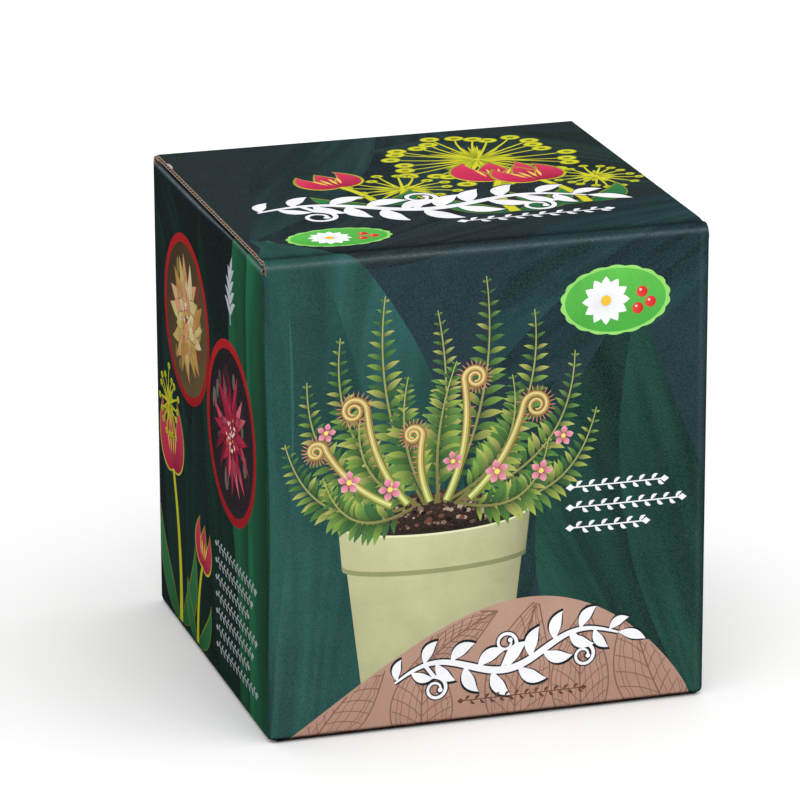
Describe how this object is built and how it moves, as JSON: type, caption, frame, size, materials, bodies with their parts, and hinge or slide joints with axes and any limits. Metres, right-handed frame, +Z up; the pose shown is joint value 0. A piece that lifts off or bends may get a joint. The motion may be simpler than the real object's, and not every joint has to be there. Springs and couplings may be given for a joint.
{
  "type": "tuck-top carton",
  "caption": "Almost cubic tuck-top carton of printed micro-flute board, with a hinged lid, tuck flap, dust flaps and locked bottom.",
  "frame": {"origin": "middle of the footprint, on the surface that the carton stands on", "axes": "+Z up, the front wall that carries the lid faces -Y, +X to the right seen from the front"},
  "size_m": [0.12, 0.115, 0.13],
  "materials": {
    "printed_board": "matt film over printed paper",
    "kraft_board": "bare kraft paper"
  },
  "bodies": {
    "carton": {"front_wall": "printed_board", "back_wall": "printed_board", "left_wall": "printed_board", "right_wall": "printed_board", "glue_tab": "kraft_board", "bottom_flap_front": "printed_board", "bottom_flap_back": "printed_board", "bottom_flap_left": "kraft_board", "bottom_flap_right": "kraft_board"},
    "lid": {"lid": "printed_board"},
    "tuck": {"tuck_flap": "printed_board"},
    "dust_left": {"dust_flap_left": "printed_board"},
    "dust_right": {"dust_flap_right": "printed_board"}
  },
  "joints": [
    {"name": "lid_open", "type": "hinge", "parent": "carton", "child": "lid", "pos_m": [0, -0.05685, 0.12935], "axis": [1, 0, 0], "range_deg": [0, 170]},
    {"name": "tuck_fold", "type": "hinge", "parent": "lid", "child": "tuck", "pos_m": [0, 0.0538, 0.1284], "axis": [-1, 0, 0], "range_deg": [0, 42.5]},
    {"name": "dust_left_rise", "type": "hinge", "parent": "carton", "child": "dust_left", "pos_m": [-0.05935, 0, 0.12775], "axis": [0, -1, 0], "range_deg": [0, 85]},
    {"name": "dust_right_rise", "type": "hinge", "parent": "carton", "child": "dust_right", "pos_m": [0.05935, 0, 0.12775], "axis": [0, 1, 0], "range_deg": [0, 85]}
  ],
  "couplings": [
    {"joint": "tuck_fold", "follows": "lid_open", "ratio": 0.25},
    {"joint": "dust_left_rise", "follows": "lid_open", "ratio": 0.5},
    {"joint": "dust_right_rise", "follows": "lid_open", "ratio": 0.5}
  ]
}
